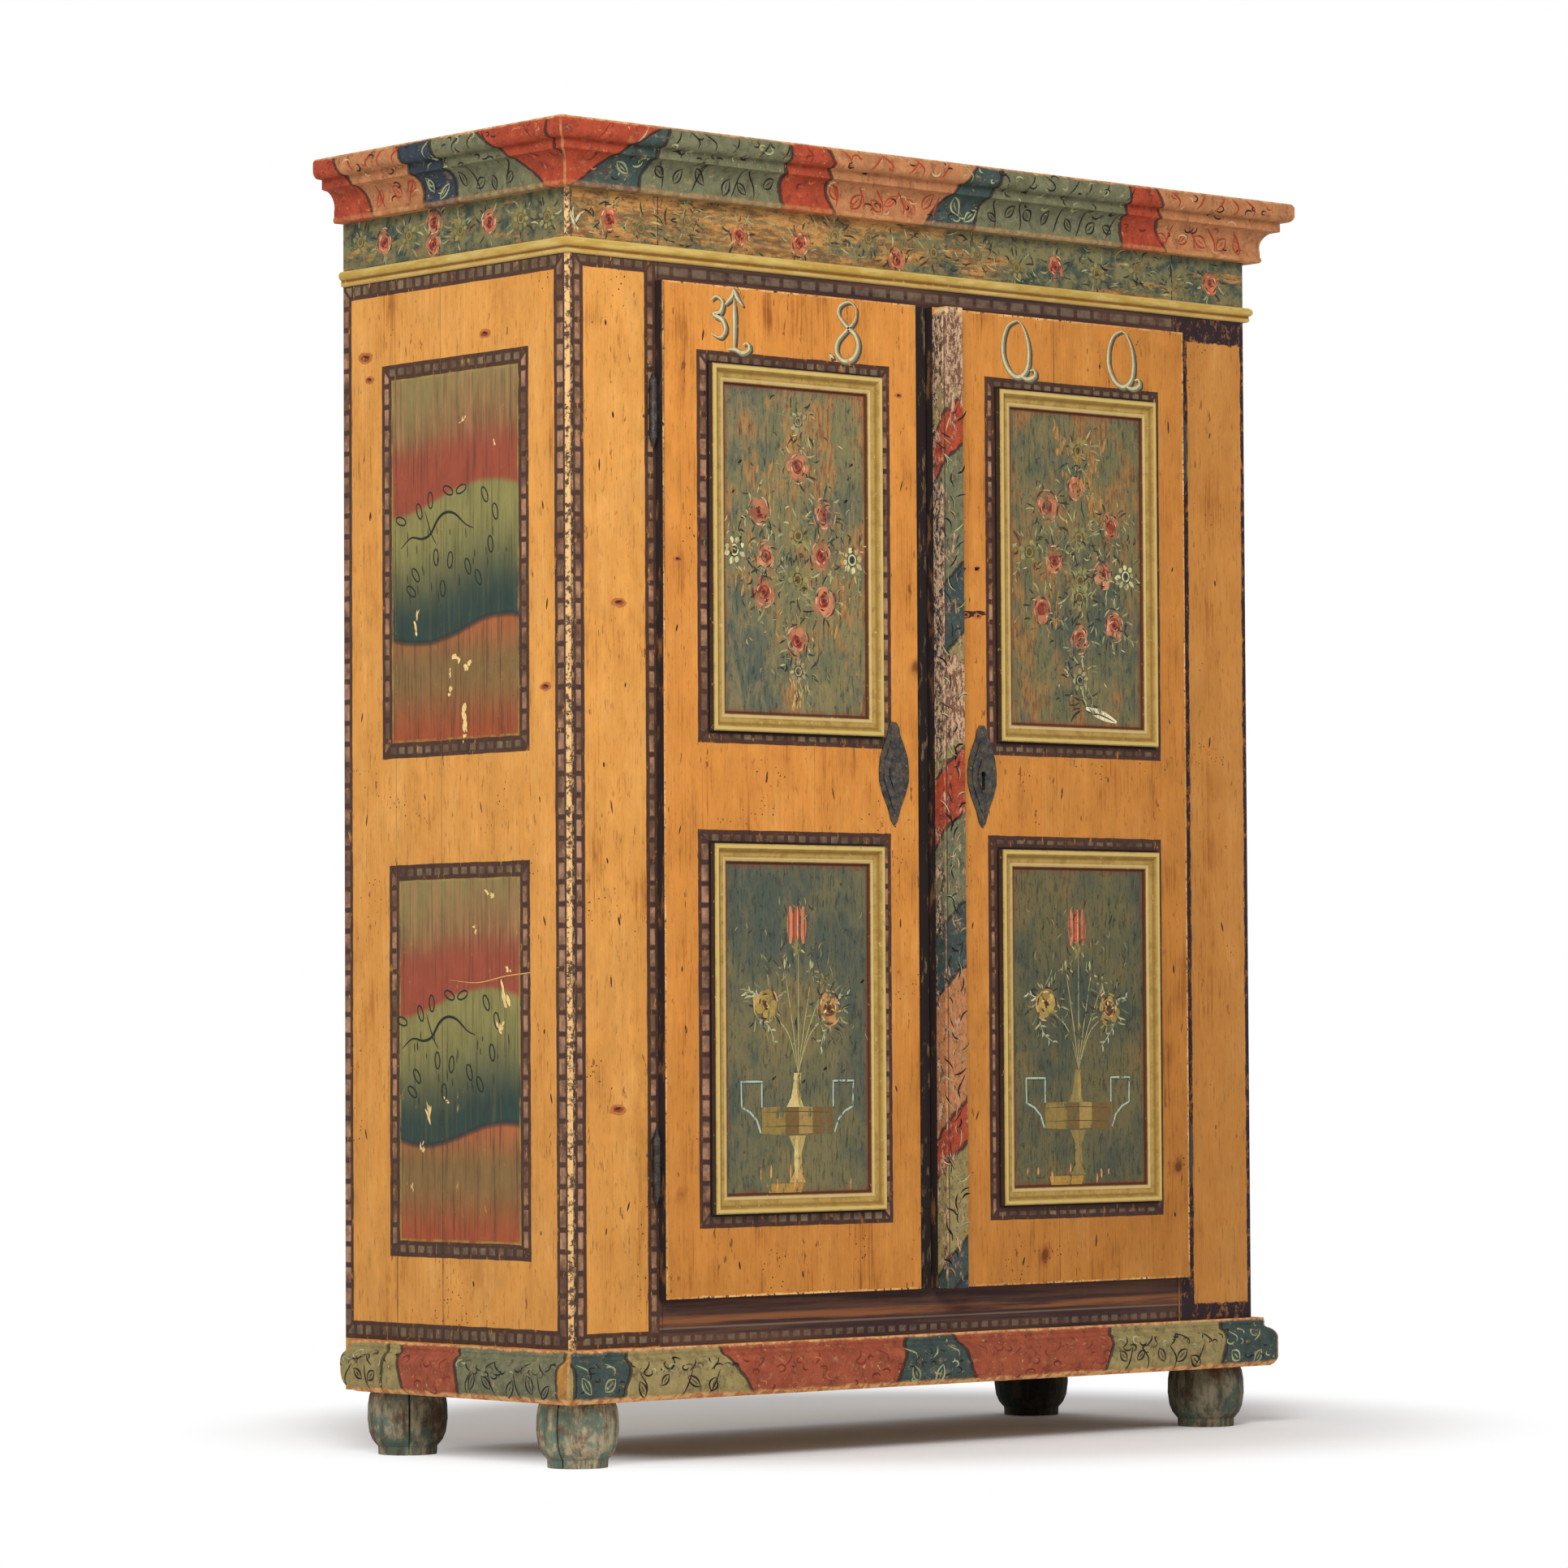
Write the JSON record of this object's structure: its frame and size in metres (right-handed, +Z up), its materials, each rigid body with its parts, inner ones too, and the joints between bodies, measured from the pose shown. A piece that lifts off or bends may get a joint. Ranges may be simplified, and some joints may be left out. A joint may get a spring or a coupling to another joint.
{
  "type": "painted two-door cupboard",
  "caption": "Folk-painted pine cupboard with two lipped plank doors, shelves inside, a marbled cornice and plinth, and turned feet.",
  "frame": {"origin": "on the floor under the middle of the cupboard's bounding box", "axes": "+Z up, the doors face -Y, +X to the right seen from the front"},
  "size_m": [1.352, 0.529, 1.74],
  "materials": {
    "foot_wood": "worn grey-green paint",
    "bare_pine": "bare aged pine",
    "case_pine": "honey-coloured satin, with painted bands",
    "door_pine": "orange-brown satin, with painted panels",
    "marbled_trim": "marbled paint in red, teal and grey-green, worn at the edges",
    "olive_trim": "olive-gold paint with a brown groove",
    "iron": "dark forged iron"
  },
  "bodies": {
    "carcass": {"foot_front_left": "foot_wood", "foot_front_right": "foot_wood", "foot_back_left": "foot_wood", "foot_back_right": "foot_wood", "foot_blocks": "bare_pine", "floor_boards": "bare_pine", "back_boards": "bare_pine", "top_boards": "bare_pine", "shelf_lower": "bare_pine", "shelf_middle": "bare_pine", "shelf_upper": "bare_pine", "shelf_cleats": "bare_pine", "side_left_front_plank": "case_pine", "side_left_middle_plank": "case_pine", "side_left_rear_plank": "case_pine", "side_right_front_plank": "case_pine", "side_right_middle_plank": "case_pine", "side_right_rear_plank": "case_pine", "stile_left": "case_pine", "stile_right": "case_pine", "bottom_rail": "case_pine", "top_rail": "case_pine", "cornice_front": "marbled_trim", "cornice_left": "marbled_trim", "cornice_right": "marbled_trim", "plinth_front": "marbled_trim", "plinth_left": "marbled_trim", "plinth_right": "marbled_trim", "bead_front": "olive_trim", "bead_left": "olive_trim", "bead_right": "olive_trim", "left_hinge_frame_halves": "iron", "right_hinge_frame_halves": "iron", "hinge_pins": "iron"},
    "left_door": {"left_door_outer_plank": "door_pine", "left_door_inner_plank": "door_pine", "left_door_upper_batten": "bare_pine", "left_door_lower_batten": "bare_pine", "left_door_upper_moulding": "olive_trim", "left_door_lower_moulding": "olive_trim", "left_escutcheon": "iron", "left_hinge_door_halves": "iron", "lock_keeper": "iron", "bolt_guides": "iron"},
    "right_door": {"right_door_outer_plank": "door_pine", "right_door_inner_plank": "door_pine", "right_door_upper_batten": "bare_pine", "right_door_lower_batten": "bare_pine", "right_door_upper_moulding": "olive_trim", "right_door_lower_moulding": "olive_trim", "right_escutcheon": "iron", "right_hinge_door_halves": "iron", "astragal": "marbled_trim", "lock_case": "iron"},
    "top_bolt": {"top_bolt": "iron"},
    "bottom_bolt": {"bottom_bolt": "iron"},
    "lock_bolt": {"lock_bolt": "iron"}
  },
  "joints": [
    {"name": "left_door_swing", "type": "hinge", "parent": "carcass", "child": "left_door", "pos_m": [-0.485, -0.2195, 0.88], "axis": [0, 0, -1], "range_deg": [0, 150]},
    {"name": "right_door_swing", "type": "hinge", "parent": "carcass", "child": "right_door", "pos_m": [0.4915, -0.2195, 0.88], "axis": [0, 0, 1], "range_deg": [0, 150]},
    {"name": "top_bolt_slide", "type": "slide", "parent": "left_door", "child": "top_bolt", "axis": [0, 0, 1], "range_m": [0, 0.022]},
    {"name": "bottom_bolt_slide", "type": "slide", "parent": "left_door", "child": "bottom_bolt", "axis": [0, 0, -1], "range_m": [0, 0.022]},
    {"name": "lock_bolt_slide", "type": "slide", "parent": "right_door", "child": "lock_bolt", "axis": [-1, 0, 0], "range_m": [0, 0.02]}
  ]
}
